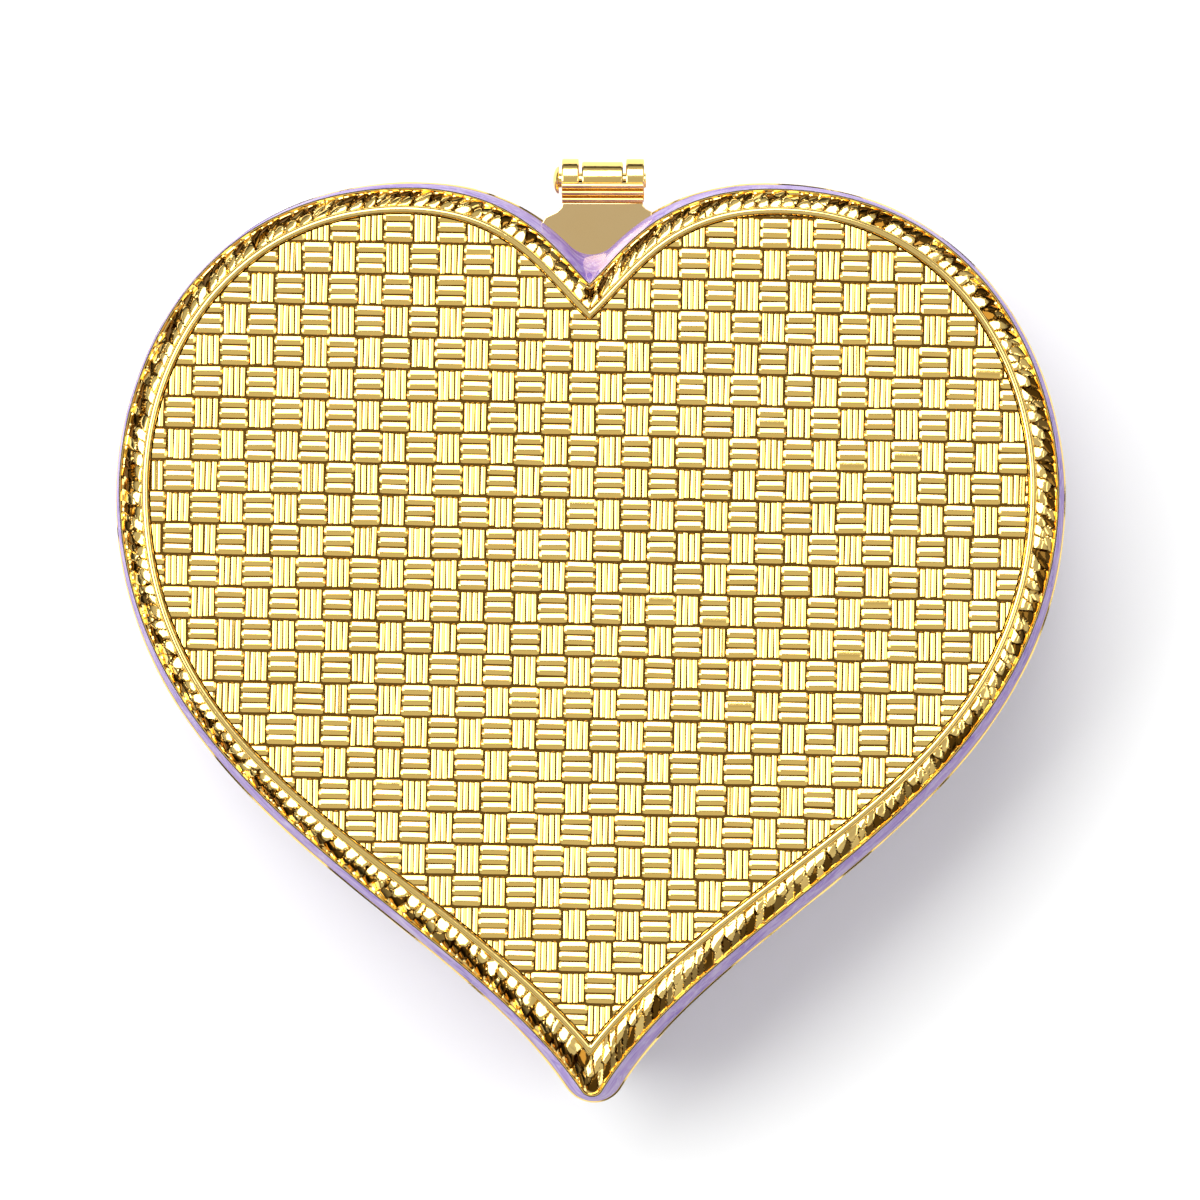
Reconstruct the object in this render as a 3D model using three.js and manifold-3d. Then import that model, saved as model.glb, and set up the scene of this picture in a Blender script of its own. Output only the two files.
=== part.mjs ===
// Heart-shaped trinket box in gilt metal and lavender enamel, about 79 mm wide and 27 mm tall.
// The lid and the base are thin-walled castings that flare out to the seam. The lid carries a
// hammered border, a bead and a face plate stamped with a basket weave. A small pin hinge sits
// behind the notch. Millimetres, Z up, Y towards the hinge, origin in the middle of the underside.

import * as THREE from 'three';
import { mergeVertices, mergeGeometries } from 'three/addons/utils/BufferGeometryUtils.js';
import Module from 'manifold-3d';

const wasm = await Module();
wasm.setup();

// Half of the heart, from the notch over the lobe and the widest point down to the tip.
// The rim is the outer edge of the lid's border, and the bead line is the crest of its bead.
const rimHeart = {
  notchY: 28.8, notchHandle: 2.35, lobeX: 14.5, lobeY: 36.45, lobeIn: 9.0, lobeOut: 18.0,
  wideX: 37.64, wideY: 12.3, wideUp: 8.3, wideDown: 25.4, tipY: -37.2, tipX: 8.95, tipUp: 16.0,
};
const beadHeart = {
  notchY: 26.5, notchHandle: 3.5, lobeX: 15.0, lobeY: 34.8, lobeIn: 8.8, lobeOut: 12.5,
  wideX: 35.62, wideY: 12.35, wideUp: 12.0, wideDown: 24.0, tipY: -32.75, tipX: 12.8, tipUp: 16.0,
};
const notchSlope = 0.95;
const tipLean = 0.5;
const leanStart = -14;
const leanLength = 23;

// Heights, from the underside up
const footZ = 1.2;
const baseHeight = 13.6;
const fitGap = 0.3;
const lidSeam = baseHeight + fitGap;
const rimZ = 26.2;
const beadZ = 27.3;
const pocketZ = 26.0;
const lipHeight = 0.95;

// Walls: how far each line stands outside the rim (negative is inside)
const seamGrow = 1.78;
const enamelStep = 0.22;
const wallBelly = 0.22;
const webThickness = 1.2;
const tongueHeight = 1.0;
const tongueOuter = 0.45;
const tongueInner = -0.35;
const innerTopGrow = -1.6;
const floorFillet = 0.8;
const floorThickness = 1.5;
const footGrow = -0.9;
const footChamferGrow = -0.25;
const footChamferZ = 0.3;
const footBand = 0.5;
const enamelShares = [0.04, 0.5, 0.96];

// Rounding of the heart's two corners
const rimTipRadius = 1.0;
const seamNotchRadius = 2.9;
const crispRadius = 0.15;

// Bead, as distance outside the crest line and height against the crest. It starts at the edge
// of the pocket that holds the plate.
const beadRadius = 0.4;
const pocketGrow = -0.55;
const beadSection = [[pocketGrow, -0.32], [-0.24, -0.08], [0, 0], [0.28, -0.1], [beadRadius, -0.3]];

// Border: a slope dented by the hammer, between the bead and a small lip on the rim
const borderMiddleShare = 0.55;
const borderMiddleDrop = 0.45;
const hammerDepth = 0.14;
const dentStride = 2.4;
const dentSwing = 1.7;
const borderLip = 0.26;
const lipCrestGrow = -0.156;
const lipCrestHeight = 0.1;
const lipFootDrop = 0.05;
const rimBand = 0.35;

// Face plate: a basket weave of upright and lying bundles, cut a little off square
const plateThickness = 0.55;
const weaveHeight = 0.22;
const weavePitch = 4.3;
const weaveRow = 2.52;
const weaveOverWidth = 2.42;
const weaveOverHeight = 2.28;
const weaveTurn = THREE.MathUtils.degToRad(-0.8);
const weaveX = -6.9;
const weaveY = 17.95;
const weaveMargin = 0.25;
const weaveKeep = 0.75;
const weaveRows = { first: -22, last: 8 };
const weavePlaces = { first: -9, last: 11 };

// Hinge behind the notch
const hingeX = 0.95;
const hingeY = 38.5;
const hingeZ = lidSeam - fitGap / 2;
const knuckleRadius = 1.8;
const centreKnuckleRadius = 1.55;
const knuckleGap = 0.25;
const leftKnuckle = 1.42;
const centreKnuckle = 3.4;
const rightKnuckle = 1.52;
const barrelLength = leftKnuckle + centreKnuckle + rightKnuckle + 2 * knuckleGap;
const pinRadius = 0.62;
const boreRadius = pinRadius + knuckleGap;
const headRadius = 1.16;
const headLength = 0.5;
const pinTail = 0.15;
const leafThickness = 0.85;
const leafInsetLeft = 0.05;
const leafInsetRight = 0.1;
const leafLap = 0.4;
const ribPitch = 0.53;
const ribStart = -2.0;
const ribBases = [0.12, 0.5, 0.86];
const ribHeight = 0.3;
const ribAngles = [150, 110, 70, 30];
const ribRearDrop = 0.1;
const neckReach = -0.4;
const neckDepth = 0.25;
const neckFall = 0.1;

// Outline of the web in the notch: how it sweeps out on both sides, across from the leaf's edges,
// and its front, which stays inside the thickness of the wall
const webSweepLeft = [[-0.08, 36.2], [-0.45, 35.75], [-1.4, 35.3]];
const webFront = [[-4.4, 34.3], [0, 30.8], [5.0, 34.7]];
const webSweepRight = [[0.75, 35.75], [0.15, 36.1]];

// Fineness of the outline, in points along each stretch of a half heart
const notchSteps = 2;
const lobeSteps = 7;
const sideSteps = 8;
const tipSteps = 10;
const tipArcSteps = 3;
const curveSamples = 120;
const runOn = 6;
const knuckleSides = 20;
const pinSides = 16;
const headSteps = 4;
const mergeDistance = 1e-4;

const gilt = new THREE.MeshStandardMaterial({ color: 0xd9b24a, roughness: 0.22, metalness: 1.0 });
const giltPlate = new THREE.MeshStandardMaterial({ color: 0xe0c468, roughness: 0.3, metalness: 1.0 });
const lavender = new THREE.MeshStandardMaterial({ color: 0xb9a0da, roughness: 0.12, metalness: 0.0 });

// A half heart as three cubic curves that meet at the lobe's top and at the widest point
function halfHeart(h) {
  const at = (x, y) => new THREE.Vector2(x, y);
  return [
    new THREE.CubicBezierCurve(at(0, h.notchY), at(h.notchHandle, h.notchY + notchSlope * h.notchHandle),
      at(h.lobeX - h.lobeIn, h.lobeY), at(h.lobeX, h.lobeY)),
    new THREE.CubicBezierCurve(at(h.lobeX, h.lobeY), at(h.lobeX + h.lobeOut, h.lobeY),
      at(h.wideX, h.wideY + h.wideUp), at(h.wideX, h.wideY)),
    new THREE.CubicBezierCurve(at(h.wideX, h.wideY), at(h.wideX, h.wideY - h.wideDown),
      at(h.tipX, h.tipY + h.tipUp), at(0, h.tipY)),
  ];
}

// Points of one curve moved outwards by grow. Past an end on the axis the line runs on straight.
function grownLine(curve, grow, runOnBefore, runOnAfter) {
  const samples = [];
  for (let i = 0; i <= curveSamples; i++) {
    const t = i / curveSamples;
    const tangent = curve.getTangent(t);
    samples.push({ point: curve.getPoint(t), tangent });
  }
  const first = samples[0];
  const last = samples[samples.length - 1];
  if (runOnBefore) {
    const start = first.point.clone().addScaledVector(first.tangent, -runOn);
    samples.unshift({ point: start, tangent: first.tangent });
  }
  if (runOnAfter) {
    const end = last.point.clone().addScaledVector(last.tangent, runOn);
    samples.push({ point: end, tangent: last.tangent });
  }
  return samples.map(({ point, tangent }) => {
    const outward = new THREE.Vector2(-tangent.y, tangent.x);
    return { point: point.clone().addScaledVector(outward, grow), outward };
  });
}

// Cuts a line where a circle of the given radius, centred on the axis, touches it.
// reach is +radius for the notch, whose circle is outside, and -radius for the tip.
function meetAxis(line, reach) {
  const centreX = (s) => s.point.x + reach * s.outward.x;
  for (let i = 1; i < line.length; i++) {
    const before = centreX(line[i - 1]);
    const after = centreX(line[i]);
    if (before < 0 && after >= 0) {
      const share = before / (before - after);
      const point = line[i - 1].point.clone().lerp(line[i].point, share);
      const outward = line[i - 1].outward.clone().lerp(line[i].outward, share).normalize();
      return [{ point, outward }, ...line.slice(i)];
    }
  }
  throw new Error('the line does not reach the axis');
}

function spaced(line, steps) {
  const lengths = [0];
  for (let i = 1; i < line.length; i++) {
    lengths.push(lengths[i - 1] + line[i].point.distanceTo(line[i - 1].point));
  }
  const points = [];
  let at = 1;
  for (let k = 0; k <= steps; k++) {
    const goal = lengths[lengths.length - 1] * k / steps;
    while (at < line.length - 1 && lengths[at] < goal) {
      at++;
    }
    const share = (goal - lengths[at - 1]) / (lengths[at] - lengths[at - 1]);
    points.push(line[at - 1].point.clone().lerp(line[at].point, share));
  }
  return points;
}

function cornerArc(contact, reach, steps) {
  const centreY = contact.point.y + reach * contact.outward.y;
  const toContact = contact.outward.clone().multiplyScalar(-Math.sign(reach));
  const endAngle = Math.atan2(toContact.y, toContact.x);
  const points = [];
  for (let k = 0; k < steps; k++) {
    const angle = THREE.MathUtils.lerp(-Math.PI / 2, endAngle, k / steps);
    points.push(new THREE.Vector2(
      Math.abs(reach) * Math.cos(angle) * (k > 0 ? 1 : 0), centreY + Math.abs(reach) * Math.sin(angle)));
  }
  return points;
}

function lean(y) {
  return tipLean * Math.max(0, (leanStart - y) / leanLength) ** 2;
}

// The whole heart as a loop that runs anticlockwise seen from above
function heartLoop(heart, grow, notchRadius = crispRadius, tipRadius = crispRadius) {
  const [toLobe, toWide, toTip] = halfHeart(heart);
  const notchLine = meetAxis(grownLine(toLobe, grow, true, false), notchRadius);
  const tipLine = meetAxis(grownLine(toTip, grow, false, true).reverse(), -tipRadius);
  const half = [
    ...cornerArc(notchLine[0], notchRadius, notchSteps),
    ...spaced(notchLine, lobeSteps).slice(0, -1),
    ...spaced(grownLine(toWide, grow, false, false), sideSteps).slice(0, -1),
    ...spaced(tipLine, tipSteps).reverse(),
    ...cornerArc(tipLine[0], -tipRadius, tipArcSteps).reverse(),
  ];
  const mirrored = half.slice(1, -1).map((p) => new THREE.Vector2(-p.x, p.y));
  const loop = [...half.reverse(), ...mirrored];
  return loop.map((p) => new THREE.Vector2(p.x + lean(p.y), p.y));
}

function encloses(loop, p) {
  return loop.reduce((within, a, i) => {
    const b = loop[(i + 1) % loop.length];
    const crosses = (a.y > p.y) !== (b.y > p.y) && p.x < a.x + (b.x - a.x) * (p.y - a.y) / (b.y - a.y);
    return crosses ? !within : within;
  }, false);
}

function atHeight(loop, z) {
  return loop.map((p) => new THREE.Vector3(p.x, p.y, z));
}

function between(loopA, loopB, share) {
  return loopA.map((p, i) => p.clone().lerp(loopB[i], share));
}

// A closed body through a stack of loops, capped on the first and on the last
function loft(loops) {
  const count = loops[0].length;
  const positions = loops.flat().flatMap((p) => [p.x, p.y, p.z]);
  const triangles = [];
  for (let k = 0; k + 1 < loops.length; k++) {
    for (let i = 0; i < count; i++) {
      const a = k * count + i;
      const b = k * count + (i + 1) % count;
      triangles.push([a, b, b + count], [a, b + count, a + count]);
    }
  }
  for (const [k, turned] of [[0, true], [loops.length - 1, false]]) {
    const flat = loops[k].map((p) => new THREE.Vector2(p.x, p.y));
    for (const face of THREE.ShapeUtils.triangulateShape(flat, [])) {
      const [a, b, c] = face.map((i) => flat[i]);
      const upward = b.clone().sub(a).cross(c.clone().sub(a)) > 0;
      const ordered = upward === turned ? [face[0], face[2], face[1]] : face;
      triangles.push(ordered.map((i) => k * count + i));
    }
  }
  return outwardGeometry(positions, triangles);
}

function outwardGeometry(positions, triangles) {
  const corner = (i) => new THREE.Vector3().fromArray(positions, 3 * i);
  let volume = 0;
  for (const [a, b, c] of triangles) {
    volume += corner(a).dot(corner(b).cross(corner(c)));
  }
  const faces = volume < 0 ? triangles.map(([a, b, c]) => [a, c, b]) : triangles;
  const geometry = new THREE.BufferGeometry();
  geometry.setAttribute('position', new THREE.Float32BufferAttribute(positions, 3));
  geometry.setIndex(faces.flat());
  return geometry;
}

function prism(outline, fromZ, toZ) {
  const shape = new THREE.Shape(outline);
  const geometry = new THREE.ExtrudeGeometry(shape, { depth: toZ - fromZ, bevelEnabled: false });
  return geometry.translate(0, 0, fromZ);
}

// A cylinder along X between two places
function rod(radius, fromX, toX, sides = knuckleSides) {
  const geometry = new THREE.CylinderGeometry(radius, radius, toX - fromX, sides);
  geometry.rotateZ(Math.PI / 2);
  return geometry.translate((fromX + toX) / 2, hingeY, hingeZ);
}

// A profile in the Y-Z plane, drawn about the hinge axis, carried along X
function barAcross(profile, fromX, toX) {
  const shape = new THREE.Shape(profile.map(([u, w]) => new THREE.Vector2(u, w)));
  const geometry = new THREE.ExtrudeGeometry(shape, { depth: toX - fromX, bevelEnabled: false });
  geometry.rotateX(Math.PI / 2);
  geometry.rotateZ(Math.PI / 2);
  return geometry.translate(fromX, hingeY, hingeZ);
}

function solid(geometry) {
  const bare = geometry.clone();
  bare.deleteAttribute('normal');
  bare.deleteAttribute('uv');
  const merged = mergeVertices(bare, mergeDistance);
  const mesh = new wasm.Mesh({
    numProp: 3,
    vertProperties: new Float32Array(merged.attributes.position.array),
    triVerts: new Uint32Array(merged.index.array),
  });
  return new wasm.Manifold(mesh);
}

function geometryOf(manifold) {
  const mesh = manifold.getMesh();
  const geometry = new THREE.BufferGeometry();
  geometry.setAttribute('position', new THREE.Float32BufferAttribute(mesh.vertProperties, 3));
  geometry.setIndex(new THREE.Uint32BufferAttribute(mesh.triVerts, 1));
  return geometry;
}

// Where the wall's outer face stands at a height: straight from the rim to the seam lip, with a
// soft belly that is fullest halfway
function wallGrow(share) {
  const bellyShare = 4 * share * (1 - share);
  return seamGrow * share + wallBelly * bellyShare - enamelStep;
}

function seamLoop(grow, z) {
  const share = THREE.MathUtils.clamp(grow / seamGrow, 0, 1);
  const notch = THREE.MathUtils.lerp(crispRadius, seamNotchRadius, share);
  return atHeight(heartLoop(rimHeart, grow, notch, Math.max(crispRadius, rimTipRadius + grow)), z);
}

function enamelLoops(rimEdgeZ, lipEdgeZ) {
  return enamelShares.map((share) => {
    const z = THREE.MathUtils.lerp(rimEdgeZ, lipEdgeZ, share);
    return seamLoop(wallGrow(share), z);
  });
}

// The hammered border: the middle line of its slope wanders in and out
function borderMiddle() {
  const inner = heartLoop(beadHeart, beadRadius);
  const outer = heartLoop(rimHeart, -borderLip, crispRadius, rimTipRadius - borderLip);
  return between(inner, outer, borderMiddleShare).map((p, i) => {
    const dent = hammerDepth * Math.sin(i * dentStride);
    const x = p.x + dent * Math.cos(i * dentSwing);
    const y = p.y + dent * Math.sin(i * dentSwing);
    return new THREE.Vector3(x, y, beadZ - borderMiddleDrop + dent);
  });
}

function lidBody() {
  const bead = (grow, z) => atHeight(heartLoop(beadHeart, grow), z);
  const lipTop = lidSeam + lipHeight;
  const tongueRoom = lidSeam + tongueHeight;
  const innerCeiling = pocketZ - webThickness;
  return loft([
    bead(pocketGrow, pocketZ),
    ...beadSection.map(([grow, rise]) => bead(grow, beadZ + rise)),
    borderMiddle(),
    seamLoop(-borderLip, rimZ - lipFootDrop),
    seamLoop(lipCrestGrow, rimZ + lipCrestHeight),
    seamLoop(0, rimZ),
    seamLoop(0, rimZ - rimBand),
    ...enamelLoops(rimZ - rimBand, lipTop),
    seamLoop(seamGrow, lipTop),
    seamLoop(seamGrow, lidSeam),
    seamLoop(tongueOuter + fitGap, lidSeam),
    seamLoop(tongueOuter + fitGap, tongueRoom),
    seamLoop(tongueInner, tongueRoom),
    seamLoop(innerTopGrow, innerCeiling - floorFillet),
    seamLoop(innerTopGrow - floorFillet, innerCeiling),
  ]);
}

function baseBody() {
  const lipTop = baseHeight - lipHeight;
  return loft([
    seamLoop(footGrow, 0),
    seamLoop(footChamferGrow, footChamferZ),
    seamLoop(0, footZ),
    seamLoop(0, footZ + footBand),
    ...enamelLoops(footZ + footBand, lipTop),
    seamLoop(seamGrow, lipTop),
    seamLoop(seamGrow, baseHeight),
    seamLoop(tongueOuter, baseHeight),
    seamLoop(tongueOuter, baseHeight + tongueHeight - fitGap),
    seamLoop(tongueInner, baseHeight + tongueHeight - fitGap),
    seamLoop(innerTopGrow, floorThickness + floorFillet),
    seamLoop(innerTopGrow - floorFillet, floorThickness),
  ]);
}

// Stations of the hinge along X
const barrelLeft = hingeX - barrelLength / 2;
const barrelRight = hingeX + barrelLength / 2;
const centreLeft = barrelLeft + leftKnuckle + knuckleGap;
const centreRight = barrelRight - rightKnuckle - knuckleGap;

const leafLeft = barrelLeft + leafInsetLeft;
const leafRight = barrelRight - leafInsetRight;

// The web that fills the notch at the seam: its sides sweep out into the rims of the two lobes
function notchWeb(rearY, fromZ, toZ) {
  const outline = [
    [leafRight, rearY],
    [leafLeft, rearY],
    ...webSweepLeft.map(([out, y]) => [leafLeft + out, y]),
    ...webFront,
    ...webSweepRight.map(([out, y]) => [leafRight + out, y]),
  ];
  return prism(outline.map(([x, y]) => new THREE.Vector2(x, y)), fromZ, toZ);
}

// Section of the lid's leaf: three round ribs that climb from the web over the barrel
function ribbedSection() {
  const underside = fitGap / 2;
  const webTop = underside + leafThickness;
  const section = [[ribStart - leafLap, underside], [ribStart - leafLap, webTop], [ribStart, webTop]];
  ribBases.forEach((base, k) => {
    const middle = ribStart + ribPitch * (k + 0.5);
    for (const angle of ribAngles) {
      const a = THREE.MathUtils.degToRad(angle);
      section.push([middle + ribPitch * 0.5 * Math.cos(a), webTop + base + ribHeight * Math.sin(a)]);
    }
  });
  const rear = ribStart + ribPitch * ribBases.length;
  const rearTop = webTop + ribBases[ribBases.length - 1] - ribRearDrop;
  section.push([rear, rearTop], [rear, underside]);
  return section.reverse();
}

function lidGeometry() {
  const web = notchWeb(hingeY + ribStart, lidSeam, lidSeam + leafThickness);
  const ribs = barAcross(ribbedSection(), leafLeft, leafRight);
  const clearance = rod(centreKnuckleRadius + knuckleGap, centreLeft - knuckleGap, centreRight + knuckleGap);
  const bore = rod(boreRadius, barrelLeft - 1, barrelRight + 1, pinSides);
  const joined = solid(lidBody())
    .add(solid(web))
    .add(solid(ribs))
    .add(solid(rod(knuckleRadius, barrelLeft, barrelLeft + leftKnuckle)))
    .add(solid(rod(knuckleRadius, barrelRight - rightKnuckle, barrelRight)));
  return geometryOf(joined.subtract(solid(clearance)).subtract(solid(bore)));
}

function baseGeometry() {
  const clear = knuckleRadius + fitGap;
  const web = notchWeb(hingeY - clear, baseHeight - leafThickness, baseHeight);
  const neckTop = -fitGap / 2;
  const neckLow = neckTop - leafThickness - neckDepth;
  const neckFront = -clear - leafLap;
  const neck = barAcross([
    [neckFront, neckLow], [neckReach, neckLow - neckFall], [neckReach, neckTop], [neckFront, neckTop],
  ], centreLeft, centreRight);
  const bore = rod(boreRadius, centreLeft - 1, centreRight + 1, pinSides);
  const joined = solid(baseBody())
    .add(solid(web))
    .add(solid(neck))
    .add(solid(rod(centreKnuckleRadius, centreLeft, centreRight)));
  return geometryOf(joined.subtract(solid(bore)));
}

// The face plate: lying bundles stand proud of the upright ones, and each row is set half a
// pitch along from the row before it
function plateGeometry() {
  const plateZ = pocketZ + fitGap;
  const topZ = plateZ + plateThickness;
  const edge = heartLoop(beadHeart, pocketGrow - fitGap);
  const inside = heartLoop(beadHeart, pocketGrow - fitGap - weaveMargin);
  const kept = heartLoop(beadHeart, pocketGrow - fitGap - weaveMargin - weaveKeep);
  const sheet = loft([atHeight(edge, plateZ), atHeight(edge, topZ)]);
  const bundles = [];
  for (let row = weaveRows.first; row <= weaveRows.last; row++) {
    for (let place = weavePlaces.first; place <= weavePlaces.last; place++) {
      const along = (place + (row % 2 === 0 ? 0 : 0.5)) * weavePitch;
      const middle = new THREE.Vector2(along, row * weaveRow).rotateAround(new THREE.Vector2(), weaveTurn);
      middle.add(new THREE.Vector2(weaveX, weaveY));
      if (encloses(kept, middle)) {
        const bundle = new THREE.BoxGeometry(weaveOverWidth, weaveOverHeight, 2 * weaveHeight);
        bundle.rotateZ(weaveTurn);
        bundles.push(bundle.translate(middle.x, middle.y, topZ));
      }
    }
  }
  const trim = loft([atHeight(inside, topZ - 1), atHeight(inside, topZ + 1)]);
  return geometryOf(solid(mergeGeometries(bundles)).intersect(solid(trim)).add(solid(sheet)));
}

function pinGeometry() {
  const headOuter = barrelLeft - knuckleGap - headLength;
  const profile = [
    new THREE.Vector2(0, barrelRight + pinTail),
    new THREE.Vector2(pinRadius, barrelRight + pinTail),
    new THREE.Vector2(pinRadius, barrelLeft - knuckleGap),
  ];
  for (let k = 0; k <= headSteps; k++) {
    const angle = Math.PI / 2 * k / headSteps;
    profile.push(new THREE.Vector2(headRadius * Math.cos(angle) * (k < headSteps ? 1 : 0),
      headOuter + headLength * (1 - Math.sin(angle))));
  }
  const geometry = new THREE.LatheGeometry(profile.reverse(), pinSides);
  geometry.rotateZ(-Math.PI / 2);
  return geometry.translate(0, hingeY, hingeZ);
}

function piece(name, geometry, material) {
  const mesh = new THREE.Mesh(geometry, material);
  mesh.name = name;
  return mesh;
}

const box = new THREE.Group();
box.add(
  piece('base', baseGeometry(), lavender),
  piece('lid', lidGeometry(), gilt),
  piece('face_plate', plateGeometry(), giltPlate),
  piece('hinge_pin', pinGeometry(), gilt),
);

export default box;
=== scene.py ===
import math

import bpy
import numpy as np
from mathutils import Matrix, Vector


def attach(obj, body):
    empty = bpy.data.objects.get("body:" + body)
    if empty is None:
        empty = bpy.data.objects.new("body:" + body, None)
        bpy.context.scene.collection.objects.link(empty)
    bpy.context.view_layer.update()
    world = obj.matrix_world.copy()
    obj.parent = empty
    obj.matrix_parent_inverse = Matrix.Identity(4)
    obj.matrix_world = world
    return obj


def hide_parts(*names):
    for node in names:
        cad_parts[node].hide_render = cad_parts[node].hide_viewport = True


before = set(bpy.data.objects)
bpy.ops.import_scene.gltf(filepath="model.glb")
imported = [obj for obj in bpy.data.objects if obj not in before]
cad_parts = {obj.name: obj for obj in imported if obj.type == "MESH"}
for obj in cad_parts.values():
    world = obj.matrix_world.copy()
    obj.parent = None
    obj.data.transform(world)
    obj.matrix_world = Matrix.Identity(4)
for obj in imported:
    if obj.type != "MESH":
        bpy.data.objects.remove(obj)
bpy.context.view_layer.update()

# The base is a thin-walled brass casting in the shape of a heart, gold plated all over.
# It flares from a small foot up to the lip at the seam, and inside the lip stands the tongue that
# the lid drops over. Its inner floor and its underside are left satin, straight from the plating bath.
MM = 0.001
RIM = dict(notch=28.8, handle=2.35, lobe=(14.5, 36.45), lobe_in=9.0, lobe_out=18.0,
           wide=(37.64, 12.3), wide_up=8.3, wide_down=25.4, tip=-37.2, tip_side=8.95, tip_up=16.0)
NOTCH_SLOPE = 0.95
TIP_LEAN, LEAN_START, LEAN_LENGTH = 0.5, -14, 23
CRISP = 0.15
TIP_ROUND = 1.0
SEAM_GROW = 1.78
SEAM_NOTCH = 2.9
WALL_BELLY, WALL_STEP = 0.88, 0.22
BEHIND_ENAMEL = 0.12
BASE_HEIGHT = 13.6
LIP_HEIGHT = 0.95
LIP_SHOULDER = 0.25
FOOT_Z = 1.7
WALL_ROUND = 1200
WALL_SHARES = (0.0, 0.3, 0.6, 1.0)
BASE_FOOT = ((-0.9, 0), (-0.5, 0.05), (-0.25, 0.3), (-0.08, 0.75), (-0.03, FOOT_Z - 0.4), (-0.1, FOOT_Z))
BASE_INSIDE = ((0.55, 13.6), (0.45, 13.66), (0.45, 14.22), (0.37, 14.3), (-0.27, 14.3), (-0.35, 14.22),
               (-1.55, 3.0), (-1.75, 2.3), (-2.1, 1.8), (-2.6, 1.5))


def heart_curves(heart, samples=300):
    """The half heart as three curves: points and outward directions, from the notch to the tip."""
    lobe, wide = np.array(heart["lobe"]), np.array(heart["wide"])
    notch, tip = np.array([0, heart["notch"]]), np.array([0, heart["tip"]])
    handles = (
        (notch, notch + heart["handle"] * np.array([1, NOTCH_SLOPE]), lobe - [heart["lobe_in"], 0], lobe),
        (lobe, lobe + [heart["lobe_out"], 0], wide + [0, heart["wide_up"]], wide),
        (wide, wide - [0, heart["wide_down"]], tip + [heart["tip_side"], heart["tip_up"]], tip),
    )
    t = np.linspace(0, 1, samples)[:, None]
    for a, b, c, d in handles:
        along = (1 - t) ** 3 * a + 3 * (1 - t) ** 2 * t * b + 3 * (1 - t) * t ** 2 * c + t ** 3 * d
        way = (1 - t) ** 2 * (b - a) + 2 * (1 - t) * t * (c - b) + t ** 2 * (d - c)
        way /= np.linalg.norm(way, axis=1)[:, None]
        yield along, np.stack([-way[:, 1], way[:, 0]], 1)


def cut_at_axis(line, outward, reach):
    """The line from where a circle on the axis touches it. Before its start it runs on straight."""
    start = line[0] - 6 * np.array([outward[0][1], -outward[0][0]]) * np.sign(reach)
    line, outward = np.vstack([start, line]), np.vstack([outward[0], outward])
    centre = line[:, 0] + reach * outward[:, 0]
    k = int(np.argmax((centre[:-1] < 0) & (centre[1:] >= 0)))
    share = centre[k] / (centre[k] - centre[k + 1])
    touch = line[k] + share * (line[k + 1] - line[k])
    facing = outward[k] + share * (outward[k + 1] - outward[k])
    return np.vstack([touch, line[k + 1:]]), facing / np.linalg.norm(facing)


def evenly(line, steps):
    """The line again, in even steps."""
    lengths = np.concatenate([[0], np.cumsum(np.linalg.norm(np.diff(line, axis=0), axis=1))])
    goal = np.linspace(0, lengths[-1], steps + 1)
    return np.stack([np.interp(goal, lengths, line[:, i]) for i in (0, 1)], 1)


def corner_round(touch, facing, reach, steps):
    """The rounding of the notch or the tip, from the axis to where it touches the side."""
    middle = touch[1] + reach * facing[1]
    back = -np.sign(reach) * facing
    angle = np.linspace(-math.pi / 2, math.atan2(back[1], back[0]), steps + 1)[:-1]
    return np.stack([abs(reach) * np.cos(angle), middle + abs(reach) * np.sin(angle)], 1)


def heart_line(heart, grow, round_about, notch_radius=CRISP, tip_radius=CRISP):
    """The heart's outline in mm, moved outwards by grow, anticlockwise from the tip."""
    (to_lobe, out_a), (to_wide, out_b), (to_tip, out_c) = [
        (line + grow * outward, outward) for line, outward in heart_curves(heart)]
    steps = [max(2, round(share * round_about / 2)) for share in (0.01, 0.165, 0.31, 0.5, 0.015)]
    notch_line, notch_facing = cut_at_axis(to_lobe, out_a, notch_radius)
    tip_line, tip_facing = cut_at_axis(to_tip[::-1], out_c[::-1], -tip_radius)
    half = np.vstack([
        corner_round(notch_line[0], notch_facing, notch_radius, steps[0]),
        evenly(notch_line, steps[1])[:-1],
        evenly(to_wide, steps[2])[:-1],
        evenly(tip_line, steps[3])[::-1],
        corner_round(tip_line[0], tip_facing, -tip_radius, steps[4])[::-1],
    ])
    half[0, 0] = half[-1, 0] = 0
    loop = np.vstack([half[::-1], half[1:-1] * [-1, 1]])
    loop[:, 0] += TIP_LEAN * np.maximum(0, (LEAN_START - loop[:, 1]) / LEAN_LENGTH) ** 2
    return loop


def at_height(line, z):
    return np.column_stack([line, np.full(len(line), z)])


def seam_line(grow, z, round_about=WALL_ROUND):
    """A line round the wall. Its notch grows rounder towards the seam."""
    share = min(1, max(0, grow / SEAM_GROW))
    notch = CRISP + share * (SEAM_NOTCH - CRISP)
    return at_height(heart_line(RIM, grow, round_about, notch, max(CRISP, TIP_ROUND + grow)), z)


def wall_grow(share):
    """How far the wall stands out, for a share from 0 at the enamel's far edge to 1 at the lip."""
    return SEAM_GROW * share + WALL_BELLY * share * (1 - share) - WALL_STEP


def select_only(piece):
    bpy.ops.object.select_all(action="DESELECT")
    bpy.context.view_layer.objects.active = piece
    piece.select_set(True)


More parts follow.
